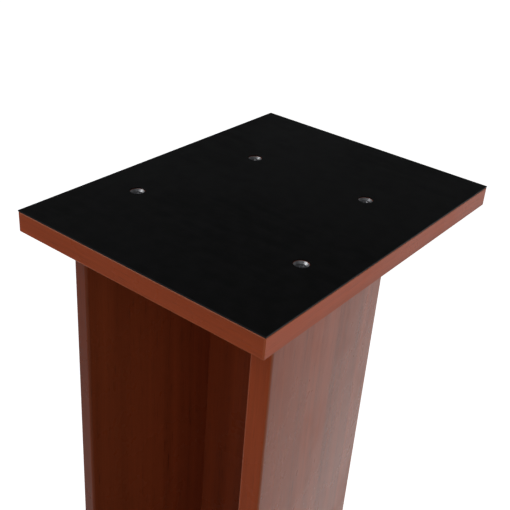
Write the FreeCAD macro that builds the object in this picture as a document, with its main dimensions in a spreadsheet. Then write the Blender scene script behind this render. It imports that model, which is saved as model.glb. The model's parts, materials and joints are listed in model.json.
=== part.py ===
import FreeCAD, Part
import os

import Sketcher

# A free-standing stand for one small loudspeaker, built from boards that are screwed together.
#
# Two side boards and a web board between them make a column that is an H in plan. The side
# boards splay: they stand further apart at the front (-Y) than at the back (+Y). The web's two
# edges are bevelled to the splay and sit in grooves in the side boards. The column carries a
# top board with a thin black sheet on it, and stands on a wider base board. Four spikes screw
# into threaded inserts in the base board, and a lock nut on each one jams it at its height.
#
# Millimetres. +Z is up, and the origin is on the floor under the middle of the base board.

SIZES = {
    "overall_height": 610,
    "floor_gap": 20,
    # top board and the black sheet on it
    "top_width": 165,
    "top_depth": 218,
    "top_thickness": 12,
    "sheet_thickness": 0.7,
    "sheet_hole_radius": 4.3,
    # base board
    "base_width": 240,
    "base_depth": 300,
    "base_thickness": 18,
    # side boards: each one's middle, how far it is turned, and its section
    "side_centre_offset": 48.5,
    "column_centre_depth": -4.5,
    "splay_angle": 10.8,
    "side_width": 163,
    "side_thickness": 12,
    "groove_depth": 4,
    "groove_play": 0.1,
    # web board: where its front face is
    "web_front": 4,
    "web_thickness": 12,
    # softened board edges under the foil
    "foil_edge_radius": 1.5,
    "arris": 0.5,
    # flat-head wood screws, two in each end of each side board
    "screw_spread": 87,
    "screw_length": 45,
    "screw_shank_radius": 2,
    "screw_head_radius": 4.2,
    "screw_head_sink": 0.1,
    "screw_play": 0.03,
    "screw_clearance_radius": 2.3,
    "countersink_angle": 90,
    # threaded inserts, spikes and lock nuts, one set near each corner of the base board
    "foot_inset": 22,
    "insert_radius": 5,
    "insert_length": 13,
    "insert_flange_radius": 7,
    "insert_flange_thickness": 1.2,
    "insert_bore_depth": 15.5,
    "insert_play": 0.03,
    "thread_radius": 3,
    "thread_play": 0.05,
    "spike_point_radius": 0.6,
    "spike_cone_length": 8.5,
    "spike_collar_radius": 4.5,
    "spike_collar_length": 3.5,
    "spike_stud_length": 20,
    "nut_width_across_flats": 10,
    "nut_thickness": 3.2,
}

DOC = FreeCAD.newDocument("speaker_stand")
SHEET = DOC.addObject("Spreadsheet::Sheet", "Sizes")
for row, (alias, size) in enumerate(SIZES.items(), start=1):
    SHEET.set(f"A{row}", alias)
    SHEET.set(f"B{row}", str(size))
    SHEET.setAlias(f"B{row}", alias)
DOC.recompute()

# Sizes that follow from the driving ones, as expressions on the sheet.
COLUMN_FOOT = "(Sizes.floor_gap + Sizes.base_thickness)"
COLUMN_HEAD = "(Sizes.overall_height - Sizes.sheet_thickness - Sizes.top_thickness)"
COLUMN_HEIGHT = f"({COLUMN_HEAD} - {COLUMN_FOOT})"
SPLAY = "(Sizes.splay_angle * 1 deg)"
WEB_BACK = "(Sizes.web_front + Sizes.web_thickness)"
NUT_HEIGHT = "(Sizes.floor_gap - Sizes.insert_flange_thickness - Sizes.nut_thickness)"

# The corners of the stand, as a sign along X and a sign along Y.
CORNERS = {
    "front_left": (-1, -1),
    "front_right": (1, -1),
    "back_left": (-1, 1),
    "back_right": (1, 1),
}


def value(item, expression):
    """The number that an expression on the sheet has now."""
    result = item.evalExpression(expression)
    return float(getattr(result, "Value", result))


def new_body(label):
    body = DOC.addObject("PartDesign::Body", label)
    body.Label = label
    return body


def place(item, across="0", along="0", height="0"):
    """Put an object where three expressions say."""
    item.setExpression("Placement.Base.x", across)
    item.setExpression("Placement.Base.y", along)
    item.setExpression("Placement.Base.z", height)


def new_sketch(body, name, role, lift="0"):
    """A sketch on one of the body's origin planes, lifted off it by an expression."""
    plane = next(item for item in body.Origin.OriginFeatures if item.Role == role)
    sketch = body.newObject("Sketcher::SketchObject", name)
    sketch.AttachmentSupport = [(plane, "")]
    sketch.MapMode = "FlatFace"
    sketch.setExpression("AttachmentOffset.Base.z", lift)
    return sketch


def constrain_point(sketch, geometry, point, name, across, along):
    """Tie a point to the sketch's origin by two named distances."""
    for axis, size in (("X", across), ("Y", along)):
        distance = Sketcher.Constraint(f"Distance{axis}", -1, 1, geometry, point, value(sketch, size))
        index = sketch.addConstraint(distance)
        sketch.renameConstraint(index, f"{name}_{axis.lower()}")
        sketch.setExpression(f"Constraints.{name}_{axis.lower()}", size)


def add_polygon(sketch, corners, name="corner"):
    """A closed outline through corners, each a pair of expressions."""
    points = [FreeCAD.Vector(value(sketch, x), value(sketch, y), 0) for x, y in corners]
    lines = [
        sketch.addGeometry(Part.LineSegment(start, end))
        for start, end in zip(points, points[1:] + points[:1])
    ]
    for line, following in zip(lines, lines[1:] + lines[:1]):
        sketch.addConstraint(Sketcher.Constraint("Coincident", line, 2, following, 1))
    for number, (line, (x, y)) in enumerate(zip(lines, corners)):
        constrain_point(sketch, line, 1, f"{name}{number}", x, y)


def add_rectangle(sketch, width, depth, name="corner"):
    """A rectangle centred on the sketch's origin."""
    halves = [(-1, -1), (1, -1), (1, 1), (-1, 1)]
    add_polygon(sketch, [(f"{x} * {width} / 2", f"{y} * {depth} / 2") for x, y in halves], name)


def add_circle(sketch, across, along, radius, name):
    centre = FreeCAD.Vector(value(sketch, across), value(sketch, along), 0)
    up = FreeCAD.Vector(0, 0, 1)
    circle = sketch.addGeometry(Part.Circle(centre, up, value(sketch, radius)))
    constrain_point(sketch, circle, 3, name, across, along)
    index = sketch.addConstraint(Sketcher.Constraint("Radius", circle, value(sketch, radius)))
    sketch.renameConstraint(index, f"{name}_radius")
    sketch.setExpression(f"Constraints.{name}_radius", radius)


def pad(body, sketch, length, name="pad"):
    feature = body.newObject("PartDesign::Pad", name)
    feature.Profile = sketch
    feature.setExpression("Length", length)
    DOC.recompute()
    return feature


def must_cut(body, feature):
    """Stop if a feature took nothing off the solid before it."""
    if feature.Shape.Volume >= feature.BaseFeature.Shape.Volume:
        raise RuntimeError(f"{body.Label}: {feature.Label} cuts nothing")


def pocket(body, sketch, depth, name, upward=False):
    """Cut a sketch down into the solid, or up into it."""
    feature = body.newObject("PartDesign::Pocket", name)
    feature.Profile = sketch
    feature.Reversed = upward
    feature.setExpression("Length", depth)
    DOC.recompute()
    must_cut(body, feature)
    return feature


def revolve(body, outline, name):
    """Turn an outline, given as radius and height expressions, about the body's Z axis."""
    sketch = new_sketch(body, f"{name}_outline", "XZ_Plane")
    add_polygon(sketch, outline)
    feature = body.newObject("PartDesign::Revolution", name)
    feature.Profile = sketch
    feature.ReferenceAxis = (sketch, ["V_Axis"])
    feature.Angle = 360
    DOC.recompute()
    return feature


def countersunk_holes(body, sketch, name, upward=False):
    """Screw holes through a board, with a seat for the heads where they go in."""
    feature = body.newObject("PartDesign::Hole", name)
    feature.Profile = sketch
    DOC.recompute()
    feature.Threaded = False
    feature.DepthType = "ThroughAll"
    feature.HoleCutType = "Countersink"
    feature.HoleCutCustomValues = True
    feature.Reversed = upward
    feature.setExpression("Diameter", "2 * Sizes.screw_clearance_radius")
    feature.setExpression("HoleCutDiameter", "2 * (Sizes.screw_head_radius + Sizes.screw_head_sink)")
    feature.setExpression("HoleCutCountersinkAngle", "Sizes.countersink_angle")
    DOC.recompute()
    must_cut(body, feature)
    return feature


def edge_names(shape, wanted):
    return [f"Edge{number}" for number, edge in enumerate(shape.Edges, start=1) if wanted(edge)]


def soften(body, kind, name, size, wanted):
    """Fillet or chamfer the wanted edges of the body's last feature."""
    base = body.Tip
    feature = body.newObject(f"PartDesign::{kind}", name)
    feature.Base = (base, edge_names(base.Shape, wanted))
    feature.setExpression("Radius" if kind == "Fillet" else "Size", size)
    DOC.recompute()
    must_cut(body, feature)
    return feature


def is_upright(edge):
    box = edge.BoundBox
    return box.XLength < 1e-6 and box.YLength < 1e-6 and box.ZLength > 1e-6


def screw_place(side, end):
    """Where a wood screw is: on its side board's middle line, side -1 left, end -1 front."""
    along_board = f"Sizes.screw_spread / 2 * {end}"
    across = f"{side} * (Sizes.side_centre_offset - {along_board} * sin({SPLAY}))"
    along = f"Sizes.column_centre_depth + {along_board} * cos({SPLAY})"
    return across, along


def foot_place(side, end):
    """Where a spike is: in from a corner of the base board."""
    return (
        f"{side} * (Sizes.base_width / 2 - Sizes.foot_inset)",
        f"{end} * (Sizes.base_depth / 2 - Sizes.foot_inset)",
    )


def add_screw_circles(sketch, radius):
    for corner, signs in CORNERS.items():
        add_circle(sketch, *screw_place(*signs), radius, corner)


def make_flat_board(body, width, depth, thickness):
    """A level board with every arris taken off."""
    outline = new_sketch(body, "outline", "XY_Plane")
    add_rectangle(outline, width, depth)
    pad(body, outline, thickness, "board")
    soften(body, "Chamfer", "arrises", "Sizes.arris", lambda edge: True)


def make_top_board():
    """The board under the speaker, countersunk from above."""
    body = new_body("top_board")
    make_flat_board(body, "Sizes.top_width", "Sizes.top_depth", "Sizes.top_thickness")
    screws = new_sketch(body, "screw_places", "XY_Plane", "Sizes.top_thickness")
    add_screw_circles(screws, "Sizes.screw_clearance_radius")
    countersunk_holes(body, screws, "screw_holes")
    place(body, height=COLUMN_HEAD)
    return body


def make_top_sheet():
    """The thin black sheet that the speaker stands on, with a hole over each screw."""
    body = new_body("top_sheet")
    outline = new_sketch(body, "sheet_outline", "XY_Plane")
    add_rectangle(outline, "Sizes.top_width", "Sizes.top_depth")
    add_screw_circles(outline, "Sizes.sheet_hole_radius")
    pad(body, outline, "Sizes.sheet_thickness", "sheet")
    place(body, height="Sizes.overall_height - Sizes.sheet_thickness")
    return body


def make_side_panel(label, side):
    """A side board, made upright and square, then turned to its splay.

    Its slanted groove takes an edge of the web, and each end has two screw holes.
    """
    body = new_body(label)
    outline = new_sketch(body, "side_outline", "XY_Plane")
    add_rectangle(outline, "Sizes.side_thickness", "Sizes.side_width")
    pad(body, outline, COLUMN_HEIGHT, "board")
    soften(body, "Fillet", "long_edges", "Sizes.foil_edge_radius", is_upright)

    # The groove's two walls are parallel to the web's faces, so they lie at the splay angle here.
    bottom = "(Sizes.side_thickness / 2 - Sizes.groove_depth)"
    mouth = "(Sizes.side_thickness / 2 + Sizes.groove_depth)"
    front = "(Sizes.web_front - Sizes.groove_play - Sizes.column_centre_depth)"
    back = f"({WEB_BACK} + Sizes.groove_play - Sizes.column_centre_depth)"
    groove = new_sketch(body, "groove_outline", "XY_Plane", COLUMN_HEIGHT)
    add_polygon(groove, [
        (f"{-side} * {reach}", f"({face} + {reach} * sin({SPLAY})) / cos({SPLAY})")
        for face, reach in ((front, bottom), (front, mouth), (back, mouth), (back, bottom))
    ])
    pocket(body, groove, COLUMN_HEIGHT, "groove")

    pilot_radius = "Sizes.screw_shank_radius + Sizes.screw_play"
    for name, lift, upward in (("foot", "0", True), ("head", COLUMN_HEIGHT, False)):
        pilots = new_sketch(body, f"{name}_pilot_places", "XY_Plane", lift)
        for end in (-1, 1):
            place_name = "front" if end < 0 else "back"
            add_circle(pilots, "0", f"{end} * Sizes.screw_spread / 2", pilot_radius, place_name)
        pocket(body, pilots, "Sizes.screw_length", f"{name}_pilots", upward)

    body.setExpression("Placement.Rotation.Angle", f"{side} * Sizes.splay_angle")
    place(body, f"{side} * Sizes.side_centre_offset", "Sizes.column_centre_depth", COLUMN_FOOT)
    return body


def make_web_panel():
    """The board across the column, its edges bevelled to the splay of the side boards."""
    body = new_body("web_panel")
    outline = new_sketch(body, "web_outline", "XY_Plane")

    def half_width(face):
        middle_line = f"Sizes.side_centre_offset - ({face} - Sizes.column_centre_depth) * tan({SPLAY})"
        to_groove = f"(Sizes.side_thickness / 2 - Sizes.groove_depth) / cos({SPLAY})"
        return f"({middle_line} - {to_groove} - Sizes.groove_play)"

    front, back = half_width("Sizes.web_front"), half_width(WEB_BACK)
    add_polygon(outline, [
        (f"-{front}", "Sizes.web_front"),
        (front, "Sizes.web_front"),
        (back, WEB_BACK),
        (f"-{back}", WEB_BACK),
    ])
    pad(body, outline, COLUMN_HEIGHT, "board")
    place(body, height=COLUMN_FOOT)
    return body


def make_base_board():
    """The board on the floor side: countersunk from below and bored for the inserts."""
    body = new_body("base_board")
    make_flat_board(body, "Sizes.base_width", "Sizes.base_depth", "Sizes.base_thickness")
    screws = new_sketch(body, "screw_places", "XY_Plane")
    add_screw_circles(screws, "Sizes.screw_clearance_radius")
    countersunk_holes(body, screws, "screw_holes", upward=True)
    inserts = new_sketch(body, "insert_places", "XY_Plane")
    for corner, signs in CORNERS.items():
        add_circle(inserts, *foot_place(*signs), "Sizes.insert_radius + Sizes.insert_play", corner)
    pocket(body, inserts, "Sizes.insert_bore_depth", "insert_bores", upward=True)
    place(body, height="Sizes.floor_gap")
    return body


def make_wood_screw(label, signs, height, turned):
    """A flat-head wood screw, its head's rim at the given height.

    It is drawn head down, and turned over for a screw that goes in from above.
    """
    body = new_body(label)
    revolve(body, [
        ("0", "0"),
        ("Sizes.screw_head_radius", "0"),
        ("Sizes.screw_shank_radius", "Sizes.screw_head_radius - Sizes.screw_shank_radius"),
        ("Sizes.screw_shank_radius", "Sizes.screw_length"),
        ("0", "Sizes.screw_length"),
    ], "screw")
    if turned:
        body.Placement.Rotation = FreeCAD.Rotation(FreeCAD.Vector(1, 0, 0), 180)
    place(body, *screw_place(*signs), height)
    return body


def make_insert(label, signs):
    """A flanged threaded insert, its flange against the underside of the base board."""
    body = new_body(label)
    bore = "(Sizes.thread_radius + Sizes.thread_play)"
    revolve(body, [
        (bore, "-Sizes.insert_flange_thickness"),
        ("Sizes.insert_flange_radius", "-Sizes.insert_flange_thickness"),
        ("Sizes.insert_flange_radius", "0"),
        ("Sizes.insert_radius", "0"),
        ("Sizes.insert_radius", "Sizes.insert_length"),
        (bore, "Sizes.insert_length"),
    ], "insert")
    place(body, *foot_place(*signs), "Sizes.floor_gap")
    return body


def make_spike(label, signs):
    """A floor spike: a cone that ends in a blunted point, a collar and a threaded stud."""
    body = new_body(label)
    collar_head = "(Sizes.spike_cone_length + Sizes.spike_collar_length)"
    revolve(body, [
        ("0", "0"),
        ("Sizes.spike_point_radius", "0"),
        ("Sizes.spike_collar_radius", "Sizes.spike_cone_length"),
        ("Sizes.spike_collar_radius", collar_head),
        ("Sizes.thread_radius", collar_head),
        ("Sizes.thread_radius", f"{collar_head} + Sizes.spike_stud_length"),
        ("0", f"{collar_head} + Sizes.spike_stud_length"),
    ], "spike")
    place(body, *foot_place(*signs))
    return body


def make_lock_nut(label, signs):
    """A thin hexagon nut on the stud, against the insert's flange."""
    body = new_body(label)
    outline = new_sketch(body, "nut_outline", "XY_Plane")
    corner_radius = "Sizes.nut_width_across_flats / sqrt(3)"
    add_polygon(outline, [
        (f"{corner_radius} * cos({angle} deg)", f"{corner_radius} * sin({angle} deg)")
        for angle in range(0, 360, 60)
    ])
    add_circle(outline, "0", "0", "Sizes.thread_radius + Sizes.thread_play", "bore")
    pad(body, outline, "Sizes.nut_thickness", "nut")
    place(body, *foot_place(*signs), NUT_HEIGHT)
    return body


def group(label, bodies):
    """Several identical pieces as one sub-part of separate solids."""
    compound = DOC.addObject("Part::Compound", label)
    compound.Label = label
    compound.Links = bodies
    return compound


def make_top_screws():
    rim = f"{COLUMN_HEAD} + Sizes.top_thickness - Sizes.screw_head_sink"
    return group("top_screws", [
        make_wood_screw(f"top_screw_{corner}", signs, rim, turned=True)
        for corner, signs in CORNERS.items()
    ])


def make_base_screws():
    rim = "Sizes.floor_gap + Sizes.screw_head_sink"
    return group("base_screws", [
        make_wood_screw(f"base_screw_{corner}", signs, rim, turned=False)
        for corner, signs in CORNERS.items()
    ])


def make_base_inserts():
    return group("base_inserts", [
        make_insert(f"insert_{corner}", signs) for corner, signs in CORNERS.items()
    ])


SUB_PARTS = [
    make_top_board(),
    make_top_sheet(),
    make_side_panel("left_side_panel", -1),
    make_side_panel("right_side_panel", 1),
    make_web_panel(),
    make_base_board(),
    make_top_screws(),
    make_base_screws(),
    make_base_inserts(),
]
for corner, signs in CORNERS.items():
    SUB_PARTS.append(make_spike(f"spike_{corner}", signs))
    SUB_PARTS.append(make_lock_nut(f"lock_nut_{corner}", signs))
DOC.recompute()

for item in DOC.Objects:
    if "Invalid" in item.State or "Error" in item.State:
        raise RuntimeError(f"{item.Label} did not compute: {item.State}")
for sub_part in SUB_PARTS:
    if sub_part.Shape.isNull() or not sub_part.Shape.isValid():
        raise RuntimeError(f"{sub_part.Label} has no valid shape")

os.makedirs("parts", exist_ok=True)
for sub_part in SUB_PARTS:
    sub_part.Shape.exportStep(f"parts/{sub_part.Label}.step")
    box = sub_part.Shape.optimalBoundingBox()
    print(f"{sub_part.Label}: {len(sub_part.Shape.Solids)} solid(s), {sub_part.Shape.Volume:.0f} mm3, "
          f"x {box.XMin:.2f}..{box.XMax:.2f} y {box.YMin:.2f}..{box.YMax:.2f} "
          f"z {box.ZMin:.2f}..{box.ZMax:.2f}")
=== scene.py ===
"""A floor-standing loudspeaker stand, dressed and lit for its picture.

The boards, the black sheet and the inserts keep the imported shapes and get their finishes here.
The screws, the floor spikes and the lock nuts are modelled again with their threads, cross
recesses, knurls and chamfers, in the same places. Everything is in metres, +Z up, front at -Y.
"""
import json
import logging
import math
from collections.abc import Callable, Iterator, Sequence
from contextlib import contextmanager
from dataclasses import dataclass, field
from enum import Enum
from typing import ClassVar

import bpy
from mathutils import Matrix, Vector

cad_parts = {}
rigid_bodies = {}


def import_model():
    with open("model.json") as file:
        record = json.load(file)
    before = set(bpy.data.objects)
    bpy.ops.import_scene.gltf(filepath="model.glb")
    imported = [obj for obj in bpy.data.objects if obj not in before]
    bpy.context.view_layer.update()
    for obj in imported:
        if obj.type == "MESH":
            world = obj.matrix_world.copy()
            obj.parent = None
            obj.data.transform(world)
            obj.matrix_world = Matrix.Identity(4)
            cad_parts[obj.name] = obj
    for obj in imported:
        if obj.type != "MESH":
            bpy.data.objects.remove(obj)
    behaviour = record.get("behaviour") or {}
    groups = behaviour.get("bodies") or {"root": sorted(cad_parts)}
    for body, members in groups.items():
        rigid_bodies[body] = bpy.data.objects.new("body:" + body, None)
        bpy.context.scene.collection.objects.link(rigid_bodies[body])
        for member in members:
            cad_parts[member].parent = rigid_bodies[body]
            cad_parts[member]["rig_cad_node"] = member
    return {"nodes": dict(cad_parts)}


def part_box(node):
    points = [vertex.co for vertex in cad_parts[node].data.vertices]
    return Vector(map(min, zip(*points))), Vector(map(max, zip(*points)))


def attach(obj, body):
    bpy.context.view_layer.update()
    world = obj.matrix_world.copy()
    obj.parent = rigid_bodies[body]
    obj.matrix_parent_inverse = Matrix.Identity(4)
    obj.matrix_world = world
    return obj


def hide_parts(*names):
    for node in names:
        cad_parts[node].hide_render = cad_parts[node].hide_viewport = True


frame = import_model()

LOG = logging.getLogger("speaker_stand")
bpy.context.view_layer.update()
MM = 0.001
WELD = 1e-7
# A face looks along an axis where its normal's part is over LOOKS_ALONG, and a face is upright
# where its normal's part along Z is under UPRIGHT_UNDER. INSIDE keeps a core within a thread.
LOOKS_ALONG = 0.7
UPRIGHT_UNDER = 0.5
INSIDE = 0.9

Number = float | bpy.types.NodeSocket
Triple = tuple[float, float, float]


class Corner(Enum):
    """The four corners of the stand, as a sign along X and a sign along Y."""

    FRONT_LEFT = (-1, -1)
    FRONT_RIGHT = (1, -1)
    BACK_LEFT = (-1, 1)
    BACK_RIGHT = (1, 1)

    @property
    def label(self) -> str:
        """The corner's name as it stands in the names of pieces."""
        return self.name.lower()


class Slot(Enum):
    """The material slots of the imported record."""

    FOIL = "cherry_foil"
    SHEET = "black_sheet"
    ZINC = "zinc_screw"
    BRASS = "brass_insert"
    BLACK = "black_steel"


class Socket(Enum):
    """The kinds of socket that the shader groups have."""

    NUMBER = "NodeSocketFloat"
    VECTOR = "NodeSocketVector"
    COLOUR = "NodeSocketColor"


class Grain(Enum):
    """Which way the printed grain runs on a board."""

    UPRIGHT = "upright"
    LEVEL = "level"


class PrintLayer(Enum):
    """The layers of the printed grain, in cycles a metre across it and along it."""

    WANDER = (9.0, 2.6)
    BANDS = (46.0, 0.9)
    STREAKS = (210.0, 3.2)
    HAIRS = (1150.0, 16.0)
    DASHES = (1900.0, 70.0)


# ---------------------------------------------------------------- shader graphs


class Graph:
    """A node tree while it is being wired."""

    MIX_FIRST: ClassVar[int] = 6
    MIX_SECOND: ClassVar[int] = 7
    MIX_RESULT: ClassVar[int] = 2

    def __init__(self, tree: bpy.types.NodeTree) -> None:
        """Take up an empty node tree."""
        self.tree = tree

    def add(self, kind: str, **settings: object) -> bpy.types.Node:
        """Add one node.

        Args:
            kind: The node's type name.
            settings: Properties of the node and their values.

        Returns:
            The new node.
        """
        node = self.tree.nodes.new(kind)
        for name, setting in settings.items():
            setattr(node, name, setting)
        return node

    def feed(self, socket: bpy.types.NodeSocket, source: object) -> None:
        """Link a socket to a source, or set it.

        Args:
            socket: The input to fill.
            source: Another node's output, or a plain value.
        """
        if isinstance(source, bpy.types.NodeSocket):
            self.tree.links.new(source, socket)
        else:
            socket.default_value = source

    def fill(self, node: bpy.types.Node, *terms: object) -> None:
        """Fill a node's inputs in their order."""
        for socket, term in zip(node.inputs, terms):
            self.feed(socket, term)

    def plug(self, node: bpy.types.Node, **inputs: object) -> None:
        """Fill a node's inputs by their names, with _ for a space."""
        for name, source in inputs.items():
            self.feed(node.inputs[name.replace("_", " ")], source)

    def math(self, operation: str, *terms: Number, clamp: bool = False) -> bpy.types.NodeSocket:
        """Work out one number from others.

        Args:
            operation: A Math node's operation.
            terms: Its inputs, in order.
            clamp: Keep the result between 0 and 1.

        Returns:
            The result's socket.
        """
        node = self.add("ShaderNodeMath", operation=operation, use_clamp=clamp)
        self.fill(node, *terms)
        return node.outputs[0]

    def vector(self, operation: str, *terms: object) -> bpy.types.NodeSocket:
        """Work out one vector from others, or their dot product.

        Args:
            operation: A Vector Math node's operation.
            terms: Its inputs, in order.

        Returns:
            The result's socket.
        """
        node = self.add("ShaderNodeVectorMath", operation=operation)
        self.fill(node, *terms)
        return node.outputs["Value" if operation == "DOT_PRODUCT" else "Vector"]

    def split(self, vector: bpy.types.NodeSocket) -> list[bpy.types.NodeSocket]:
        """The X, Y and Z of a vector."""
        node = self.add("ShaderNodeSeparateXYZ")
        self.fill(node, vector)
        return list(node.outputs)

    def merge(self, *parts: Number) -> bpy.types.NodeSocket:
        """A vector out of its X, Y and Z."""
        node = self.add("ShaderNodeCombineXYZ")
        self.fill(node, *parts)
        return node.outputs[0]

    def noise(self, vector: bpy.types.NodeSocket, scale: Number, detail: float = 2.0,
              roughness: float = 0.5) -> bpy.types.NodeSocket:
        """Fractal noise over a vector.

        Args:
            vector: Where the noise is read.
            scale: Its frequency.
            detail: The number of finer layers.
            roughness: How strong the finer layers are.

        Returns:
            A number round one half.
        """
        node = self.add("ShaderNodeTexNoise")
        self.plug(node, Vector=vector, Scale=scale, Detail=detail, Roughness=roughness)
        return node.outputs[0]

    def spread(self, number: Number, low: Number, high: Number, to_low: Number = 0.0,
               to_high: Number = 1.0) -> bpy.types.NodeSocket:
        """Map a range to another one, softly at both ends.

        Args:
            number: What is mapped.
            low: The number that gives to_low.
            high: The number that gives to_high.
            to_low: The result at the low end.
            to_high: The result at the high end.

        Returns:
            The result's socket.
        """
        node = self.add("ShaderNodeMapRange", interpolation_type="SMOOTHSTEP")
        self.fill(node, number, low, high, to_low, to_high)
        return node.outputs[0]

    def mix(self, share: Number, first: object, second: object,
            blend: str = "MIX") -> bpy.types.NodeSocket:
        """Mix two colours.

        Args:
            share: How much of the second one there is.
            first: The colour underneath.
            second: The colour on top.
            blend: A Mix node's blend type.

        Returns:
            The mixed colour's socket.
        """
        node = self.add("ShaderNodeMix", data_type="RGBA", blend_type=blend)
        self.feed(node.inputs[0], share)
        self.feed(node.inputs[self.MIX_FIRST], first)
        self.feed(node.inputs[self.MIX_SECOND], second)
        return node.outputs[self.MIX_RESULT]

    def use(self, group: bpy.types.NodeTree, **inputs: object) -> bpy.types.bpy_prop_collection:
        """Place a shared group and fill its inputs.

        Args:
            group: The group's tree.
            inputs: Its inputs, as in plug.

        Returns:
            The group node's outputs.
        """
        node = self.add("ShaderNodeGroup", node_tree=group)
        self.plug(node, **inputs)
        return node.outputs


class SharedGroup:
    """A shader group with named sockets, built once and placed in many materials."""

    def __init__(self, name: str, inputs: dict[str, Socket], outputs: dict[str, Socket]) -> None:
        """Make the tree and its sockets.

        Args:
            name: The group's name.
            inputs: Its inputs' names and kinds.
            outputs: Its outputs' names and kinds.
        """
        self.tree = bpy.data.node_groups.new(name, "ShaderNodeTree")
        for direction, sockets in (("INPUT", inputs), ("OUTPUT", outputs)):
            for label, kind in sockets.items():
                self.tree.interface.new_socket(label, in_out=direction, socket_type=kind.value)
        self.graph = Graph(self.tree)
        self.given = self.graph.add("NodeGroupInput").outputs
        self.result = self.graph.add("NodeGroupOutput").inputs

    def give(self, name: str, source: object) -> None:
        """Fill one of the group's outputs."""
        self.graph.feed(self.result[name], source)


class GroupLibrary:
    """The shader groups that the finishes share."""

    def __init__(self) -> None:
        """Build every group once."""
        self.level_grain = self._level_grain()
        self.foil_print = self._foil_print()
        self.board_zones = self._board_zones()
        self.worn_edges = self._worn_edges()
        self.fine_texture = self._fine_texture()
        self.handling = self._handling()
        self.lathe_marks = self._lathe_marks()

    @staticmethod
    def _level_grain() -> bpy.types.NodeTree:
        """Grain that runs along the depth of a level board, and along each of its edges.

        Returns:
            A group that turns a place on the board into across, through and along the grain.
        """
        group = SharedGroup("level_grain", {"Position": Socket.VECTOR, "Normal": Socket.VECTOR},
                            {"Grain": Socket.VECTOR, "Band": Socket.NUMBER})
        graph = group.graph
        across, along, up = graph.split(group.given["Position"])
        side_x, side_y, level = (graph.math("ABSOLUTE", part)
                                 for part in graph.split(group.given["Normal"]))
        on_face = graph.merge(across, up, along)
        on_front = graph.merge(up, along, across)
        on_flank = graph.merge(up, across, along)
        mixed = graph.mix(graph.math("GREATER_THAN", side_y, LOOKS_ALONG), on_face, on_front)
        mixed = graph.mix(graph.math("GREATER_THAN", side_x, LOOKS_ALONG), mixed, on_flank)
        group.give("Grain", mixed)
        group.give("Band", graph.math("LESS_THAN", level, UPRIGHT_UNDER))
        return group.tree

    @staticmethod
    def _foil_print() -> bpy.types.NodeTree:
        """The printed cherry grain: broad bands, fine streaks and short dark pores.

        Returns:
            A group that gives the print's colour and the height of its embossed pores.
        """
        wander_reach, band_share, hair_share, pore_share = 0.022, 0.62, 0.35, 0.7
        group = SharedGroup(
            "foil_print",
            {"Grain": Socket.VECTOR, "Shift": Socket.NUMBER, "Light": Socket.COLOUR,
             "Dark": Socket.COLOUR, "Pore": Socket.COLOUR, "Contrast": Socket.NUMBER},
            {"Color": Socket.COLOUR, "Pores": Socket.NUMBER, "Streaks": Socket.NUMBER})
        graph = group.graph
        across, through, along = graph.split(group.given["Grain"])
        shifted = graph.math("ADD", along, group.given["Shift"])

        def layer(kind: PrintLayer, lane: Number, detail: float,
                  roughness: float = 0.5) -> bpy.types.NodeSocket:
            """One layer's noise, stretched along the grain.

            Args:
                kind: Which layer it is.
                lane: The place across the grain.
                detail: The number of finer layers in the noise.
                roughness: How strong those are.

            Returns:
                A number round one half.
            """
            cycles, along_cycles = kind.value
            place = graph.merge(graph.math("MULTIPLY", lane, cycles),
                                graph.math("MULTIPLY", through, cycles),
                                graph.math("MULTIPLY", shifted, along_cycles))
            return graph.noise(place, 1.0, detail, roughness)

        wander = graph.math("SUBTRACT", layer(PrintLayer.WANDER, across, 1.0), 0.5)
        lane = graph.math("MULTIPLY_ADD", wander, wander_reach, across)
        bands = layer(PrintLayer.BANDS, lane, 2.0, 0.45)
        streaks = layer(PrintLayer.STREAKS, lane, 4.0, 0.62)
        hairs = layer(PrintLayer.HAIRS, lane, 2.0)
        dashes = layer(PrintLayer.DASHES, lane, 1.0)
        tone = graph.math("ADD", graph.math("MULTIPLY", bands, band_share),
                          graph.math("MULTIPLY", streaks, 1.0 - band_share))
        tone = graph.math("MULTIPLY_ADD", graph.math("SUBTRACT", tone, 0.5),
                          group.given["Contrast"], 0.5, clamp=True)
        tone = graph.math("MULTIPLY_ADD", graph.math("SUBTRACT", hairs, 0.5), hair_share, tone,
                          clamp=True)
        pores = graph.math("MULTIPLY", graph.spread(dashes, 0.62, 0.72),
                           graph.spread(streaks, 0.45, 0.65, 0.25, 1.0))
        colour = graph.mix(tone, group.given["Light"], group.given["Dark"])
        colour = graph.mix(graph.math("MULTIPLY", pores, pore_share), colour,
                           group.given["Pore"])
        group.give("Color", colour)
        group.give("Pores", pores)
        group.give("Streaks", streaks)
        return group.tree

    @staticmethod
    def _board_zones() -> bpy.types.NodeTree:
        """Where a place on a board is: near an arris, in its skin or in its core.

        Returns:
            A group that gives the arris and core masks of a board of a given half size.
        """
        group = SharedGroup(
            "board_zones",
            {"Position": Socket.VECTOR, "Half Size": Socket.VECTOR,
             "Arris Width": Socket.NUMBER, "Skin": Socket.NUMBER},
            {"Arris": Socket.NUMBER, "Core": Socket.NUMBER})
        graph = group.graph
        depth = graph.vector("SUBTRACT", group.given["Half Size"],
                             graph.vector("ABSOLUTE", group.given["Position"]))
        x, y, z = graph.split(depth)
        least = graph.math("MINIMUM", graph.math("MINIMUM", x, y), z)
        second = graph.math("MAXIMUM", graph.math("MAXIMUM", graph.math("MINIMUM", x, y),
                                                  graph.math("MINIMUM", y, z)),
                            graph.math("MINIMUM", x, z))
        group.give("Arris", graph.spread(second, 0.0, group.given["Arris Width"], 1.0, 0.0))
        edge = graph.math("MULTIPLY", group.given["Skin"], 1.15)
        group.give("Core", graph.spread(least, group.given["Skin"], edge))
        return group.tree

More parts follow.
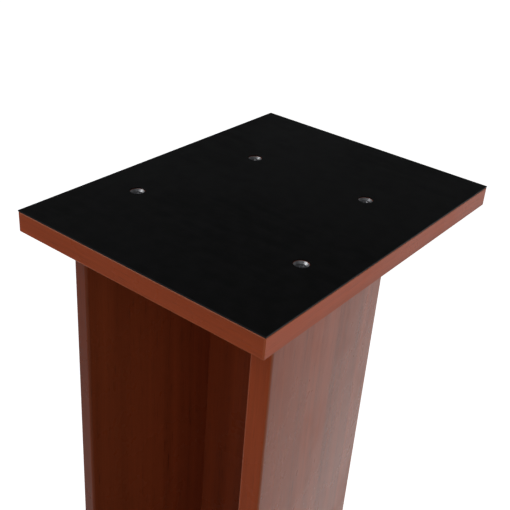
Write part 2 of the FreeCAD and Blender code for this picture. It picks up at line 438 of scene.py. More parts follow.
    @staticmethod
    def _worn_edges() -> bpy.types.NodeTree:
        """Where handling has rubbed the edges of a small metal part, in a broken line.

        Returns:
            A group that gives the mask of the rubbed places.
        """
        group = SharedGroup("worn_edges",
                            {"Position": Socket.VECTOR, "Width": Socket.NUMBER,
                             "Break Up": Socket.NUMBER},
                            {"Wear": Socket.NUMBER})
        graph = group.graph
        rounded = graph.add("ShaderNodeBevel", samples=6)
        graph.plug(rounded, Radius=group.given["Width"])
        true_normal = graph.add("ShaderNodeNewGeometry").outputs["Normal"]
        facing = graph.vector("DOT_PRODUCT", rounded.outputs[0], true_normal)
        edge = graph.spread(facing, 0.72, 0.985, 1.0, 0.0)
        patches = graph.noise(group.given["Position"], group.given["Break Up"], detail=3.0)
        group.give("Wear", graph.math("MULTIPLY", edge, graph.spread(patches, 0.38, 0.62)))
        return group.tree

    @staticmethod
    def _fine_texture() -> bpy.types.NodeTree:
        """A fine pebbled texture, for moulded, laminated and blackened surfaces.

        Returns:
            A group that gives the height of the pebbles and a slow variation with them.
        """
        group = SharedGroup("fine_texture",
                            {"Position": Socket.VECTOR, "Pebbles": Socket.NUMBER},
                            {"Height": Socket.NUMBER, "Variation": Socket.NUMBER})
        graph = group.graph
        cells = graph.add("ShaderNodeTexVoronoi", feature="SMOOTH_F1")
        graph.plug(cells, Vector=group.given["Position"], Scale=group.given["Pebbles"],
                   Smoothness=0.8)
        slow_scale = graph.math("MULTIPLY", group.given["Pebbles"], 0.08)
        slow = graph.noise(group.given["Position"], slow_scale, detail=4.0)
        group.give("Height", graph.math("SUBTRACT", 1.0, cells.outputs["Distance"]))
        group.give("Variation", slow)
        return group.tree

    @staticmethod
    def _handling() -> bpy.types.NodeTree:
        """Smudges and faint wipe marks that a surface gets in use, seen in its gloss.

        Returns:
            A group that gives a roughness between two others.
        """
        group = SharedGroup("handling",
                            {"Position": Socket.VECTOR, "Scale": Socket.NUMBER,
                             "Low": Socket.NUMBER, "High": Socket.NUMBER},
                            {"Roughness": Socket.NUMBER, "Smudge": Socket.NUMBER})
        graph = group.graph
        smudge = graph.noise(group.given["Position"], group.given["Scale"], detail=5.0,
                             roughness=0.6)
        wipes = graph.noise(graph.vector("MULTIPLY", group.given["Position"], (1.0, 7.0, 3.0)),
                            graph.math("MULTIPLY", group.given["Scale"], 2.3), detail=3.0)
        mask = graph.math("MULTIPLY", graph.spread(smudge, 0.35, 0.7),
                          graph.spread(wipes, 0.3, 0.65, 0.5, 1.0))
        group.give("Roughness", graph.spread(mask, 0.0, 1.0, group.given["Low"],
                                             group.given["High"]))
        group.give("Smudge", mask)
        return group.tree

    @staticmethod
    def _lathe_marks() -> bpy.types.NodeTree:
        """Fine rings that turning leaves round the Z axis of a piece.

        Returns:
            A group that gives the height of the rings.
        """
        group = SharedGroup("lathe_marks",
                            {"Position": Socket.VECTOR, "Rings": Socket.NUMBER},
                            {"Height": Socket.NUMBER})
        graph = group.graph
        x, y, z = graph.split(group.given["Position"])
        height = graph.math("MULTIPLY", z, group.given["Rings"])
        rings = graph.merge(graph.math("MULTIPLY", x, 90.0), graph.math("MULTIPLY", y, 90.0),
                            height)
        group.give("Height", graph.noise(rings, 1.0, detail=3.0, roughness=0.7))
        return group.tree


# ---------------------------------------------------------------- finishes


class MaterialSheet:
    """One material: its Principled shader, its object coordinates and its graph."""

    def __init__(self, name: str) -> None:
        """Start a material.

        Args:
            name: The material's name.
        """
        self.material = bpy.data.materials.new(name)
        self.material.use_nodes = True
        self.material.node_tree.nodes.clear()
        self.graph = Graph(self.material.node_tree)
        self.shader = self.graph.add("ShaderNodeBsdfPrincipled")
        output = self.graph.add("ShaderNodeOutputMaterial")
        self.graph.plug(output, Surface=self.shader.outputs[0])
        coordinates = self.graph.add("ShaderNodeTexCoord")
        self.position = coordinates.outputs["Object"]
        self.normal = coordinates.outputs["Normal"]

    def placed(self, centre: Sequence[float], turn: float = 0.0) -> bpy.types.NodeSocket:
        """The place on a piece from its own middle, along its own sides.

        Args:
            centre: The piece's middle.
            turn: How far the piece is turned about Z, in radians.

        Returns:
            The socket of the local place.
        """
        node = self.graph.add("ShaderNodeMapping", vector_type="TEXTURE")
        self.graph.plug(node, Vector=self.position, Location=tuple(centre),
                        Rotation=(0.0, 0.0, turn))
        return node.outputs[0]

    def set(self, **sockets: object) -> None:
        """Fill the shader's sockets, with _ for a space in their names."""
        self.graph.plug(self.shader, **sockets)

    def bump(self, height: bpy.types.NodeSocket, depth: float, strength: float) -> None:
        """Raise the surface by a height.

        Args:
            height: The height map, from 0 to 1.
            depth: The rise at 1, in metres.
            strength: How much of it is used.
        """
        node = self.graph.add("ShaderNodeBump")
        self.graph.plug(node, Height=height, Distance=depth, Strength=strength)
        self.set(Normal=node.outputs[0])


def opaque(colour: Triple) -> tuple[float, float, float, float]:
    """A colour with full alpha."""
    return (*colour, 1.0)


def shaded(colour: Triple, tone: float) -> Triple:
    """A colour made darker or lighter by a factor."""
    return tuple(part * tone for part in colour)


@dataclass(frozen=True)
class FoilCut:
    """The part of the print that a board's foil was cut from, and the tones of its surfaces.

    The tones are factors on the foil's colour. They were fitted so that each board matches the
    photograph under this scene's lights, so they hold some of the photograph's shading and are
    not a measured property of the foil. With every tone at 1 the boards have one colour.
    """

    shift: float
    face_tone: float = 1.0
    edge_tone: float = 1.0


@dataclass(frozen=True)
class CherryFoil:
    """Printed cherry foil, satin, on fibreboard. The colours are linear.

    The tints were fitted to the photograph with the tones and the lights.
    """

    light: Triple = (0.560, 0.099, 0.027)
    dark: Triple = (0.290, 0.051, 0.0145)
    pore: Triple = (0.105, 0.018, 0.005)
    # The arris colour is a painted highlight: a paler foil colour for the light that the rounded
    # edges catch.
    arris: Triple = (0.520, 0.180, 0.085)
    core: Triple = (0.300, 0.190, 0.105)
    face_tint: Triple = (1.0, 1.2, 1.4)
    edge_tint: Triple = (1.0, 1.0, 1.0)
    contrast: float = 2.4
    band_shift: float = 3.7
    arris_width: float = 1.3 * MM
    skin: float = 0.75 * MM
    specular: float = 0.15
    gloss_low: float = 0.27
    gloss_high: float = 0.36
    pore_depth: float = 0.05 * MM

    def material(self, name: str, groups: GroupLibrary, centre: Sequence[float],
                 half_size: Sequence[float], grain: Grain, cut: FoilCut,
                 turn: float = 0.0) -> bpy.types.Material:
        """The foil as it lies on one board.

        Args:
            name: The material's name.
            groups: The shared shader groups.
            centre: The board's middle.
            half_size: Half the board's size along its own sides.
            grain: Which way the grain runs.
            cut: Where on the print this board's foil was cut.
            turn: How far the board is turned about Z, in radians.

        Returns:
            The material.
        """
        sheet = MaterialSheet(name)
        graph = sheet.graph
        place = sheet.placed(centre, turn)
        if grain is Grain.LEVEL:
            layout = graph.use(groups.level_grain, Position=place, Normal=sheet.normal)
            grain_vector, band = layout["Grain"], layout["Band"]
        else:
            across, through, along = graph.split(place)
            grain_vector = graph.merge(through, across, along)
            _, edge_on, _ = graph.split(graph.vector("ABSOLUTE", sheet.normal))
            band = graph.math("GREATER_THAN", edge_on, LOOKS_ALONG)
        moved = graph.math("MULTIPLY_ADD", band, self.band_shift, cut.shift)
        printed = graph.use(groups.foil_print, Grain=grain_vector, Shift=moved,
                            Light=opaque(self.light), Dark=opaque(self.dark),
                            Pore=opaque(self.pore), Contrast=self.contrast)
        # The tones multiply the print's colour; below 1 they are partly painted shade.
        tone = graph.mix(band, opaque(shaded(self.face_tint, cut.face_tone)),
                         opaque(shaded(self.edge_tint, cut.edge_tone)))
        print_colour = graph.mix(1.0, printed["Color"], tone, "MULTIPLY")
        zones = graph.use(groups.board_zones, Position=place, Half_Size=tuple(half_size),
                          Arris_Width=self.arris_width, Skin=self.skin)
        use = graph.use(groups.handling, Position=place, Scale=14.0, Low=self.gloss_low,
                        High=self.gloss_high)
        # Painted highlight: near each arris the colour is lightened towards the arris colour, by a
        # share that varies with the streaks, for the light that the rounded edges catch.
        rubbed = graph.math("MULTIPLY", zones["Arris"],
                            graph.spread(printed["Streaks"], 0.3, 0.7, 0.25, 0.6))
        colour = graph.mix(rubbed, print_colour, opaque(shaded(self.arris, cut.edge_tone)))
        fibres = graph.noise(place, 900.0, detail=4.0, roughness=0.7)
        core_colour = graph.mix(graph.spread(fibres, 0.3, 0.7), opaque(self.core),
                                opaque(shaded(self.core, 0.55)))
        colour = graph.mix(zones["Core"], colour, core_colour)
        sheet.set(Base_Color=colour,
                  Roughness=graph.math("MULTIPLY_ADD", zones["Core"], 0.45, use["Roughness"],
                                       clamp=True),
                  Specular_IOR_Level=self.specular)
        relief = graph.math("SUBTRACT", graph.math("MULTIPLY", printed["Streaks"], 0.4),
                            printed["Pores"])
        sheet.bump(relief, self.pore_depth, 0.5)
        return sheet.material


@dataclass(frozen=True)
class BlackSheet:
    """The thin black sheet: matt, with a fine pebbled face."""

    colour: Triple = (0.0034, 0.0034, 0.0035)
    lighter: Triple = (0.0064, 0.0063, 0.0065)
    cut_edge: Triple = (0.020, 0.020, 0.021)
    pebbles: float = 1400.0
    pebble_depth: float = 0.03 * MM

    def material(self, groups: GroupLibrary, centre: Sequence[float],
                 half_size: Sequence[float]) -> bpy.types.Material:
        """The sheet's material.

        Args:
            groups: The shared shader groups.
            centre: The sheet's middle.
            half_size: Half the sheet's size.

        Returns:
            The material.
        """
        sheet = MaterialSheet("black_sheet")
        graph = sheet.graph
        place = sheet.placed(centre)
        texture = graph.use(groups.fine_texture, Position=place, Pebbles=self.pebbles)
        zones = graph.use(groups.board_zones, Position=place, Half_Size=tuple(half_size),
                          Arris_Width=0.5 * MM, Skin=1.0)
        use = graph.use(groups.handling, Position=place, Scale=9.0, Low=0.5, High=0.62)
        colour = graph.mix(graph.spread(texture["Variation"], 0.35, 0.65),
                           opaque(self.colour), opaque(self.lighter))
        colour = graph.mix(zones["Arris"], colour, opaque(self.cut_edge))
        sheet.set(Base_Color=colour, Roughness=use["Roughness"], Specular_IOR_Level=0.15)
        sheet.bump(texture["Height"], self.pebble_depth, 0.35)
        return sheet.material


@dataclass(frozen=True)
class TurnedMetal:
    """A bare or plated metal with fine machining marks and rubbed edges."""

    name: str
    colour: Triple
    shade: Triple
    worn: Triple
    gloss_low: float
    gloss_high: float
    metallic: float = 1.0
    rings: float = 9000.0
    ring_depth: float = 0.012 * MM
    wear_width: float = 0.25 * MM

    def material(self, groups: GroupLibrary) -> bpy.types.Material:
        """The metal's material.

        Args:
            groups: The shared shader groups.

        Returns:
            The material.
        """
        sheet = MaterialSheet(self.name)
        graph = sheet.graph
        marks = graph.use(groups.lathe_marks, Position=sheet.position, Rings=self.rings)
        wear = graph.use(groups.worn_edges, Position=sheet.position, Width=self.wear_width,
                         Break_Up=700.0)["Wear"]
        use = graph.use(groups.handling, Position=sheet.position, Scale=160.0,
                        Low=self.gloss_low, High=self.gloss_high)
        colour = graph.mix(use["Smudge"], opaque(self.colour), opaque(self.shade))
        colour = graph.mix(wear, colour, opaque(self.worn))
        roughness = graph.math("MULTIPLY_ADD", wear, -0.12, use["Roughness"], clamp=True)
        sheet.set(Base_Color=colour, Roughness=roughness, Metallic=self.metallic)
        sheet.bump(marks["Height"], self.ring_depth, 0.6)
        return sheet.material


BRIGHT_ZINC = TurnedMetal("zinc_plate", (0.54, 0.55, 0.57), (0.38, 0.38, 0.40),
                          (0.66, 0.66, 0.66), 0.40, 0.50, metallic=0.98)
TURNED_BRASS = TurnedMetal("turned_brass", (0.62, 0.43, 0.16), (0.36, 0.23, 0.08),
                           (0.80, 0.62, 0.30), 0.22, 0.40)
BLACK_OXIDE = TurnedMetal("black_oxide", (0.020, 0.020, 0.022), (0.036, 0.035, 0.036),
                          (0.26, 0.26, 0.27), 0.30, 0.50, metallic=0.85)


@dataclass
class Finishes:
    """Every finish on the stand, made once and shared."""

    groups: GroupLibrary = field(default_factory=GroupLibrary)
    foil: CherryFoil = CherryFoil()
    sheet: BlackSheet = BlackSheet()

    def __post_init__(self) -> None:
        """Make the metals' materials, which several pieces share."""
        self.zinc = BRIGHT_ZINC.material(self.groups)
        self.brass = TURNED_BRASS.material(self.groups)
        self.black = BLACK_OXIDE.material(self.groups)


# ---------------------------------------------------------------- modelling


class Bench:
    """The modelling tools, used on one piece at a time."""

    @staticmethod
    def clear() -> None:
        """Leave nothing selected."""
        bpy.ops.object.select_all(action="DESELECT")

    @staticmethod
    def take(*pieces: bpy.types.Object) -> None:
        """Select only these pieces and make the first one active."""
        Bench.clear()
        for piece in pieces:
            piece.select_set(True)
        bpy.context.view_layer.objects.active = pieces[0]

    @staticmethod
    @contextmanager
    def edit(piece: bpy.types.Object, mode: str = "VERT") -> Iterator[None]:
        """Open a piece in edit mode with all of it selected.

        Args:
            piece: The piece to edit.
            mode: What is selected: VERT, EDGE or FACE.
        """
        Bench.take(piece)
        bpy.ops.object.mode_set(mode="EDIT")
        bpy.ops.mesh.select_mode(type=mode)
        bpy.ops.mesh.select_all(action="SELECT")
        yield
        bpy.ops.object.mode_set(mode="OBJECT")

    @staticmethod
    def pick_faces(piece: bpy.types.Object, wanted: Callable[[bpy.types.MeshPolygon], bool]) -> None:
        """Select faces by their place or normal. The piece is in edit mode, face mode.

        Args:
            piece: The piece in edit mode.
            wanted: Says whether a face is selected.
        """
        bpy.ops.mesh.select_all(action="DESELECT")
        bpy.ops.object.mode_set(mode="OBJECT")
        for face in piece.data.polygons:
            face.select = wanted(face)
        bpy.ops.object.mode_set(mode="EDIT")

    @staticmethod
    def turned(name: str, profile: Sequence[tuple[float, float]], sides: int) -> bpy.types.Object:
        """Turn a solid about Z: a disc that is extruded and resized up its profile.

        Args:
            name: The piece's name.
            profile: Radius and height pairs from the lowest disc to the highest one.
            sides: How many sides the turning has.

        Returns:
            The closed solid.
        """
        Bench.clear()
        (radius, height), *others = profile
        bpy.ops.mesh.primitive_circle_add(vertices=sides, radius=radius, fill_type="NGON",
                                          location=(0.0, 0.0, height))
        piece = bpy.context.active_object
        piece.name = name
        Bench.settle(piece)
        with Bench.edit(piece, "FACE"):
            for next_radius, next_height in others:
                rise = {"value": (0.0, 0.0, next_height - height)}
                bpy.ops.mesh.extrude_region_move(TRANSFORM_OT_translate=rise)
                scale = next_radius / radius
                bpy.ops.transform.resize(value=(scale, scale, 1.0),
                                         center_override=(0.0, 0.0, next_height))
                radius, height = next_radius, next_height
            bpy.ops.mesh.select_all(action="SELECT")
            bpy.ops.mesh.normals_make_consistent(inside=False)
        return piece

    @staticmethod
    def threaded_rod(name: str, minor: float, major: float, pitch: float, low: float, high: float,
                     sides: int, crest: float = 0.16) -> bpy.types.Object:
        """A rod with a helical thread, cut square at both ends.

        Args:
            name: The piece's name.
            minor: The radius at the thread's root.
            major: The radius at its crest.
            pitch: The rise in one turn.
            low: The height of the lower end.
            high: The height of the upper end.
            sides: How many steps one turn has.
            crest: The flat at the crest, as a share of the pitch.

        Returns:
            The closed rod.
        """
        Bench.clear()
        start = low - 2 * pitch
        bpy.ops.mesh.primitive_plane_add(size=pitch, location=(0.0, 0.0, 0.0))
        piece = bpy.context.active_object
        piece.name = name
        flank = pitch * (1 - crest) / 2
        steps = ((major - minor, flank), (0.0, pitch * crest), (minor - major, flank))
        with Bench.edit(piece):
            bpy.ops.mesh.merge(type="CENTER")
            bpy.ops.transform.translate(value=(minor, 0.0, start))
            for outward, upward in steps:
                bpy.ops.mesh.extrude_vertices_move(
                    TRANSFORM_OT_translate={"value": (outward, 0.0, upward)})
        Bench.finish(piece, "SCREW", axis="Z", screw_offset=pitch, steps=sides,
                     render_steps=sides, iterations=math.ceil((high - start) / pitch) + 2)
        with Bench.edit(piece):
            bpy.ops.mesh.remove_doubles(threshold=WELD)
            bpy.ops.mesh.normals_make_consistent(inside=False)
            for height, clear in ((low, "clear_inner"), (high, "clear_outer")):
                bpy.ops.mesh.select_all(action="SELECT")
                bpy.ops.mesh.bisect(plane_co=(0.0, 0.0, height), plane_no=(0.0, 0.0, 1.0),
                                    use_fill=True, **{clear: True})
            bpy.ops.mesh.select_all(action="SELECT")
            bpy.ops.mesh.normals_make_consistent(inside=False)
        return piece

    @staticmethod
    def finish(piece: bpy.types.Object, kind: str, **settings: object) -> None:
        """Add a modifier to a piece and apply it.

        Args:
            piece: The piece.
            kind: The modifier's type.
            settings: Its properties and their values.
        """
        Bench.take(piece)
        modifier = piece.modifiers.new(kind.lower(), kind)
        for name, setting in settings.items():
            setattr(modifier, name, setting)
        bpy.ops.object.modifier_apply(modifier=modifier.name)

    @staticmethod
    def combine(piece: bpy.types.Object, tool: bpy.types.Object, operation: str) -> None:
        """Join, cut or trim a piece with a tool, which is used up."""
        Bench.finish(piece, "BOOLEAN", object=tool, operation=operation, solver="EXACT")
        bpy.data.objects.remove(tool)

    @staticmethod
    def settle(piece: bpy.types.Object) -> None:
        """Put a piece's place, turn and scale into its mesh."""
        Bench.take(piece)
        bpy.ops.object.transform_apply(location=True, rotation=True, scale=True)

    @staticmethod
    def smooth(piece: bpy.types.Object, angle: float = 32.0) -> None:
        """Shade a piece smooth across the edges under an angle in degrees."""
        Bench.take(piece)
        bpy.ops.object.shade_smooth_by_angle(angle=math.radians(angle))

    @staticmethod
    def copy(piece: bpy.types.Object, name: str, place: Sequence[float],
             turn: float = 0.0) -> bpy.types.Object:
        """Copy a modelled piece, with a mesh of its own, to where it belongs.

        Args:
            piece: The piece to copy.
            name: The copy's name.
            place: Where the copy's origin goes.
            turn: How far it is turned about Z first, in radians.

        Returns:
            The copy, with its place in its mesh.
        """
        Bench.take(piece)
        bpy.ops.object.duplicate(linked=False)
        twin = bpy.context.active_object
        twin.name = name
        twin.data.name = name
        twin.rotation_euler = (0.0, 0.0, turn)
        twin.location = place
        Bench.settle(twin)
        return twin


def dress(piece: bpy.types.Object, material: bpy.types.Material) -> None:
    """Give a piece its one material.

    Args:
        piece: A carried-over node or a new piece.
        material: Its material.
    """
    if piece.data.materials:
        for material_slot in piece.material_slots:
            material_slot.material = material
    else:
        piece.data.materials.append(material)


def middle(node: str) -> Vector:
    """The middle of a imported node's box."""
    low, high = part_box(node)
    return (low + high) / 2


def half(node: str) -> Vector:
    """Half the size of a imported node's box."""
    low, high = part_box(node)
    return (high - low) / 2


def dress_board(node: str, finishes: Finishes, cut: FoilCut, grain: Grain = Grain.LEVEL,
                half_size: Sequence[float] | None = None, turn: float = 0.0) -> None:
    """Give a packed board the foil that was cut for it.

    Args:
        node: The board's node.
        finishes: The stand's finishes.
        cut: Where on the print the board's foil was cut.
        grain: Which way the grain runs.
        half_size: Half the board's size along its own sides, where its box is another.
        turn: How far the board is turned about Z, in radians.
    """
    material = finishes.foil.material(f"foil_{node}", finishes.groups, middle(node),
                                      half_size or half(node), grain, cut, turn)
    dress(frame["nodes"][node], material)


# ---------------------------------------------------------------- sub-assemblies


@dataclass
class WoodScrews:
    """Four wood screws with cupped flat heads, drawn head up and turned over below."""

    node: str
    heads_up: bool
    splay: float = math.radians(10.8)
    head_radius: float = 4.2 * MM
    rim_land: float = 0.25 * MM
    rim_bevel: float = 0.05 * MM
    cup_radius: float = 3.0 * MM
    cup_depth: float = 1.1 * MM
    neck_radius: float = 1.9 * MM
    length: float = 45.0 * MM
    thread_root: float = 1.25 * MM
    thread_crest: float = 2.0 * MM
    thread_pitch: float = 1.8 * MM
    thread_flat: float = 0.1
    thread_sides: int = 24
    overlap: float = 0.3 * MM
    plain_length: float = 12.0 * MM
    tip_length: float = 4.5 * MM
    recess_span: float = 4.7 * MM
    recess_width: float = 1.7 * MM
    recess_depth: float = 2.7 * MM
    recess_above: float = 0.5 * MM
    recess_taper: float = 0.42
    first_turn: float = 0.4
    further_turn: float = 0.9
    sides: int = 48

    def places(self) -> dict[Corner, Vector]:
        """Where the four heads are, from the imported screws' box and the splay.

        Returns:
            The middle of each head's face.
        """
        low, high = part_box(self.node)
        front, back = low.y + self.head_radius, high.y - self.head_radius
        front_x = high.x - self.head_radius
        back_x = front_x - (back - front) * math.tan(self.splay)
        face = high.z if self.heads_up else low.z
        return {
            corner: Vector((corner.value[0] * (front_x if corner.value[1] < 0 else back_x),
                            front if corner.value[1] < 0 else back, face))
            for corner in Corner
        }

    def model(self) -> bpy.types.Object:
        """One screw, its head's face at the origin and its tip below.

        Returns:
            The screw.
        """
        thread_top = -self.plain_length
        body = Bench.turned("wood_screw", [
            (self.thread_root * INSIDE, thread_top - self.thread_pitch),
            (self.neck_radius, thread_top),
            (self.neck_radius, self.neck_radius - self.head_radius - self.rim_land),
            (self.head_radius, -self.rim_land),
            (self.head_radius, -self.rim_bevel),
            (self.head_radius - self.rim_bevel, 0.0),
            (self.cup_radius + self.cup_depth, 0.0),
            (self.cup_radius, -self.cup_depth),
        ], self.sides)
        rod = Bench.threaded_rod("rod", self.thread_root, self.thread_crest, self.thread_pitch,
                                 -self.length, thread_top - self.overlap,
                                 self.thread_sides, self.thread_flat)
        outside = self.thread_crest * 1.05
        point = Bench.turned("point", [
            (0.1 * MM, -self.length),
            (outside, self.tip_length - self.length),
            (outside, thread_top),
        ], self.thread_sides)
        Bench.combine(rod, point, "INTERSECT")
        Bench.combine(body, rod, "UNION")
        for turn in (0.0, math.pi / 2):
            Bench.combine(body, self.recess_wing(turn), "DIFFERENCE")
        Bench.smooth(body)
        return body

    def recess_wing(self, turn: float) -> bpy.types.Object:
        """One of the two crossing wings that cut the recess.

        Args:
            turn: How far the wing is turned about Z, in radians.

        Returns:
            The tapered cutter.
        """
        Bench.clear()
        bpy.ops.mesh.primitive_cube_add(size=1.0, rotation=(0.0, 0.0, turn))
        wing = bpy.context.active_object
        above = self.recess_above
        height = self.recess_depth + above
        wing.scale = (self.recess_span, self.recess_width, height)
        wing.location = (0.0, 0.0, above - height / 2)
        Bench.settle(wing)
        with Bench.edit(wing, "FACE"):
            Bench.pick_faces(wing, lambda face: face.normal.z < -0.9)
            taper = self.recess_taper
            bpy.ops.transform.resize(value=(taper, taper, 1.0),
                                     center_override=(0.0, 0.0, above - height))
        return wing

    def build(self, material: bpy.types.Material) -> None:
        """Model one screw and copy it to its four places.

        Args:
            material: The screws' finish.
        """
        master = self.model()
        if not self.heads_up:
            master.rotation_euler = (math.pi, 0.0, 0.0)
            Bench.settle(master)
        for number, (corner, place) in enumerate(self.places().items()):
            name = f"{self.node[:-1]}_{corner.label}"
            turn = self.first_turn + self.further_turn * number
            screw = Bench.copy(master, name, place, turn)
            dress(screw, material)
            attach(screw, "root")
            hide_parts(self.node)
        bpy.data.objects.remove(master)


@dataclass
class TopAssembly:
    """The board under the speaker, its black sheet and the four screws through it."""

    screws: WoodScrews = field(default_factory=lambda: WoodScrews("top_screws", heads_up=True))
    cut: FoilCut = FoilCut(0.31)

    def build(self, finishes: Finishes) -> None:
        """Dress the board and the sheet, and model the screws.

        Args:
            finishes: The stand's finishes.
        """
        dress_board("top_board", finishes, self.cut)
        black = finishes.sheet.material(finishes.groups, middle("top_sheet"), half("top_sheet"))
        dress(frame["nodes"]["top_sheet"], black)
        self.screws.build(finishes.zinc)
        LOG.info("top: board, black sheet and %d screws", len(Corner))


@dataclass
class Column:
    """The two splayed side boards and the web between them."""

    splay: float = math.radians(10.8)
    side_thickness: float = 12.0 * MM
    side_width: float = 163.0 * MM
    # Tones below 1 are partly painted shade, the left board's and the web's most: the dimmer light
    # on the left board and the shade in the recess between the boards, put into their colour.
    left_cut: FoilCut = FoilCut(1.13, 0.70, 0.47)
    right_cut: FoilCut = FoilCut(2.47, 0.80, 1.00)
    web_cut: FoilCut = FoilCut(5.2, edge_tone=0.72)

    def build(self, finishes: Finishes) -> None:
        """Dress the three boards, each with its own piece of the print.

        Args:
            finishes: The stand's finishes.
        """
        for node, turn, cut in (("left_side_panel", -self.splay, self.left_cut),
                                ("right_side_panel", self.splay, self.right_cut)):
            size = (self.side_thickness / 2, self.side_width / 2, half(node).z)
            dress_board(node, finishes, cut, Grain.UPRIGHT, size, turn)
        dress_board("web_panel", finishes, self.web_cut, Grain.UPRIGHT)
        LOG.info("column: two side boards and the web")


@dataclass
class BaseAssembly:
    """The base board, the four screws up into the column and the four inserts."""

    screws: WoodScrews = field(default_factory=lambda: WoodScrews("base_screws", heads_up=False))
    cut: FoilCut = FoilCut(3.9)

    def build(self, finishes: Finishes) -> None:
        """Dress the board and the inserts, and model the screws.

        Args:
            finishes: The stand's finishes.
        """
        dress_board("base_board", finishes, self.cut)
        dress(frame["nodes"]["base_inserts"], finishes.brass)
        self.screws.build(finishes.zinc)
        LOG.info("base: board, %d screws and %d inserts", len(Corner), len(Corner))


@dataclass
class Feet:
    """The four spikes with knurled collars and their lock nuts."""

    point_radius: float = 0.6 * MM
    cone_height: float = 8.5 * MM
    collar_radius: float = 4.5 * MM
    collar_top: float = 12.0 * MM
    collar_bevel: float = 0.35 * MM
    stud_top: float = 32.0 * MM
    thread_root: float = 2.45 * MM
    thread_crest: float = 3.0 * MM
    thread_pitch: float = 1.0 * MM
    knurl_depth: float = 0.16 * MM
    knurl_inset: float = 0.05 * MM
    sides: int = 72
    nut_flats: float = 10.0 * MM
    nut_thickness: float = 3.2 * MM
    nut_bore: float = 3.05 * MM
    nut_bevel: float = 0.45 * MM

    def model_spike(self) -> bpy.types.Object:
        """One spike, its point at the origin.

        Returns:
            The spike.
        """
        bevel = self.collar_bevel
        body = Bench.turned("floor_spike", [
            (self.point_radius * 0.55, 0.0),
            (self.point_radius, 0.18 * MM),
            (self.collar_radius - bevel, self.cone_height - bevel),
            (self.collar_radius, self.cone_height),
            (self.collar_radius, self.collar_top - bevel),
            (self.collar_radius - bevel, self.collar_top),
            (self.thread_root * INSIDE, self.collar_top),
            (self.thread_root * INSIDE, self.collar_top + 1.0 * MM),
        ], self.sides)
        band_low, band_high = self.cone_height + 0.05 * MM, self.collar_top - bevel

        def in_band(face: bpy.types.MeshPolygon) -> bool:
            """Every other face of the collar's upright band."""
            step = round(math.atan2(face.center.y, face.center.x) / (2 * math.pi) * self.sides - 0.5)
            return band_low < face.center.z < band_high and step % 2 == 0

        with Bench.edit(body, "FACE"):
            Bench.pick_faces(body, in_band)
            bpy.ops.mesh.inset(thickness=self.knurl_inset, use_individual=True)
            bpy.ops.transform.shrink_fatten(value=-self.knurl_depth)
        rod = Bench.threaded_rod("stud", self.thread_root, self.thread_crest, self.thread_pitch,
                                 self.collar_top - 0.4 * MM, self.stud_top, 32)
        outside = self.thread_crest * 1.1
        tip = Bench.turned("stud_tip", [
            (outside, self.collar_top - 0.6 * MM),
            (outside, self.stud_top - 0.9 * MM),
            (self.thread_root * INSIDE, self.stud_top),
        ], 32)
        Bench.combine(rod, tip, "INTERSECT")
        Bench.combine(body, rod, "UNION")
        Bench.smooth(body, 25.0)
        return body

    def model_nut(self) -> bpy.types.Object:
        """One lock nut, its lower face at the origin, with a point of its hexagon on +X.

        Returns:
            The nut.
        """
        Bench.clear()
        across_corners = self.nut_flats / math.sqrt(3)
        bpy.ops.mesh.primitive_cylinder_add(
            vertices=6, radius=across_corners, depth=self.nut_thickness,
            location=(0.0, 0.0, self.nut_thickness / 2), rotation=(0.0, 0.0, math.pi / 6))
        nut = bpy.context.active_object
        nut.name = "lock_nut"
        Bench.settle(nut)
        face_radius = self.nut_flats / 2 * 0.97
        slope = math.tan(math.radians(30))
        outside = across_corners * 1.02
        rise = (outside - face_radius) * slope
        barrel = Bench.turned("barrel", [
            (face_radius, 0.0),
            (outside, rise),
            (outside, self.nut_thickness - rise),
            (face_radius, self.nut_thickness),
        ], self.sides)
        Bench.combine(nut, barrel, "INTERSECT")
        past = 0.2 * MM
        mouth = self.nut_bore + self.nut_bevel + past
        bore = Bench.turned("bore", [
            (mouth, -past),
            (self.nut_bore, self.nut_bevel),
            (self.nut_bore, self.nut_thickness - self.nut_bevel),
            (mouth, self.nut_thickness + past),
        ], 48)
        Bench.combine(nut, bore, "DIFFERENCE")
        Bench.smooth(nut, 20.0)
        return nut

    def build(self, finishes: Finishes) -> None:
        """Model one spike and one nut, and copy them to the four corners.

        Args:
            finishes: The stand's finishes.
        """
        for kind, master in (("spike", self.model_spike()), ("lock_nut", self.model_nut())):
            for corner in Corner:
                body = f"{kind}_{corner.label}"
                low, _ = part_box(body)
                place = Vector((middle(body).x, middle(body).y, low.z))
                piece = Bench.copy(master, f"{body}_detail", place)
                dress(piece, finishes.black)
                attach(piece, body)
                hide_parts(body)
            bpy.data.objects.remove(master)
        LOG.info("feet: %d spikes and %d lock nuts", len(Corner), len(Corner))


# ---------------------------------------------------------------- studio


@dataclass(frozen=True)
class SoftBox:
    """One large soft light that faces the stand's top."""

    name: str
    place: Triple
    size: float
    power: float

    def build(self, target: Vector) -> None:
        """Hang the light.

        Args:
            target: Where it points.
        """
        data = bpy.data.lights.new(self.name, "AREA")
        data.shape = "SQUARE"
        data.size = self.size
        data.energy = self.power
        light = bpy.data.objects.new(self.name, data)
        bpy.context.scene.collection.objects.link(light)
        light.visible_camera = False
        light.location = self.place
        light.rotation_euler = (target - Vector(self.place)).to_track_quat("-Z", "Y").to_euler()


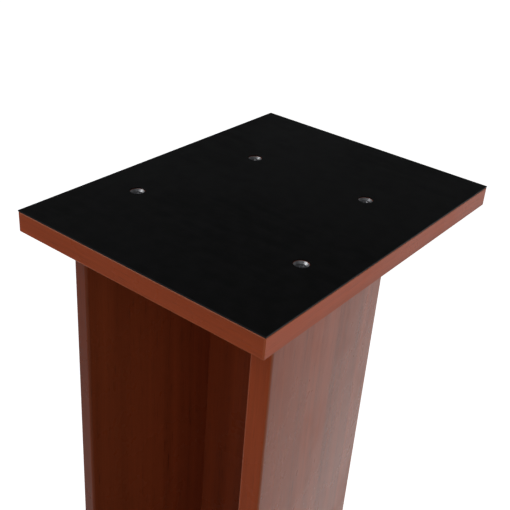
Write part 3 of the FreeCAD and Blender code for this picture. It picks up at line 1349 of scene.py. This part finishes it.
@dataclass
class Studio:
    """A pale floor, soft lights and the camera.

    The lights' power, the floor's glow with its dim strip and the sky were fitted to the
    photograph. They are one lighting that gives its look, not a record of the real one.
    """

    floor_size: float = 16.0
    floor_colour: Triple = (0.86, 0.86, 0.855)
    floor_glow: float = 1.0
    front_glow: float = 0.10
    strip_glow: float = 0.40
    glow_start: float = -0.20
    glow_full: float = 0.10
    strip_place: float = 0.30
    strip_core: float = 0.12
    strip_edge: float = 0.26
    sky_colour: Triple = (0.95, 0.97, 1.0)
    horizon_strength: float = 0.8
    sky_strength: float = 0.05
    horizon_top: float = 0.26
    camera_place: Triple = (0.2534, -0.3542, 0.8195)
    azimuth: float = 36.28
    elevation: float = 29.61
    roll: float = 4.49
    focal_pixels: float = 855.8
    frame_pixels: float = 510.0
    sensor_width: float = 36.0
    softboxes: tuple[SoftBox, ...] = (
        SoftBox("front_left_box", (-0.622, -0.667, 1.165), 0.7, 3.6),
        SoftBox("front_right_box", (0.730, -0.612, 1.100), 0.7, 1.2),
        SoftBox("back_right_box", (0.734, 1.271, 0.862), 1.0, 0.9),
    )

    def build_floor(self) -> None:
        """A plain pale floor, lit from within as a light table is: its glow is painted light.

        It is dimmer towards the front and in one strip, where the boards mirror it. The strip is a
        painted shadow of the stand.
        """
        Bench.clear()
        bpy.ops.mesh.primitive_plane_add(size=self.floor_size)
        floor = bpy.context.active_object
        floor.name = "floor"
        sheet = MaterialSheet("pale_floor")
        graph = sheet.graph
        mottle = graph.noise(sheet.position, 2.0, detail=4.0)
        colour = graph.mix(graph.spread(mottle, 0.3, 0.7), opaque(self.floor_colour),
                           opaque(shaded(self.floor_colour, 0.985)))
        across, depth, _ = graph.split(sheet.position)
        glow = graph.spread(depth, self.glow_start, self.glow_full, self.front_glow,
                            self.floor_glow)
        # Painted shadow: the glow is dimmed in a soft strip along Y, for the stand's shadow, where
        # the boards mirror the floor.
        off_shadow_strip = graph.math("ABSOLUTE", graph.math("SUBTRACT", across, self.strip_place))
        strip = graph.spread(off_shadow_strip, self.strip_core, self.strip_edge, self.strip_glow, 1.0)
        glow = graph.math("MULTIPLY", glow, strip)
        sheet.set(Base_Color=colour, Roughness=0.9, Specular_IOR_Level=0.1,
                  Emission_Color=opaque((1.0, 1.0, 1.0)), Emission_Strength=glow)
        floor.data.materials.append(sheet.material)

    def build_sky(self) -> None:
        """A dim room that is pale near the floor, as a coved backdrop is."""
        world = bpy.data.worlds.new("studio_room")
        bpy.context.scene.world = world
        world.use_nodes = True
        background = world.node_tree.nodes["Background"]
        background.inputs["Color"].default_value = opaque(self.sky_colour)
        graph = Graph(world.node_tree)
        direction = graph.add("ShaderNodeTexCoord").outputs["Object"]
        _, _, height = graph.split(graph.vector("NORMALIZE", direction))
        graph.feed(background.inputs["Strength"],
                   graph.spread(height, 0.0, self.horizon_top, self.horizon_strength,
                                self.sky_strength))

    def build_camera(self) -> None:
        """The camera, where the photograph was taken from."""
        data = bpy.data.cameras.new("camera")
        data.sensor_width = self.sensor_width
        data.lens = self.focal_pixels * self.sensor_width / self.frame_pixels
        data.clip_start, data.clip_end = 0.01, 100.0
        camera = bpy.data.objects.new("camera", data)
        bpy.context.scene.collection.objects.link(camera)
        turn = Matrix.Rotation(math.radians(self.azimuth), 4, "Z")
        tilt = Matrix.Rotation(math.radians(90 - self.elevation), 4, "X")
        roll = Matrix.Rotation(math.radians(self.roll), 4, "Z")
        camera.matrix_world = Matrix.Translation(self.camera_place) @ turn @ tilt @ roll
        bpy.context.scene.camera = camera

    def build(self) -> None:
        """Set up the whole studio."""
        self.build_floor()
        self.build_sky()
        self.build_camera()
        target = middle("top_board")
        for softbox in self.softboxes:
            softbox.build(target)
        view = bpy.context.scene.view_settings
        view.view_transform = "Standard"
        view.look = "None"
        LOG.info("studio: floor, %d soft lights and the camera", len(self.softboxes))


def main() -> None:
    """Build the stand's looks, sub-assembly by sub-assembly, and light it."""
    logging.basicConfig(level=logging.INFO, format="%(name)s: %(message)s")
    finishes = Finishes()
    Studio().build()
    for assembly in (TopAssembly(), Column(), BaseAssembly(), Feet()):
        assembly.build(finishes)


if __name__ == "__main__":
    main()
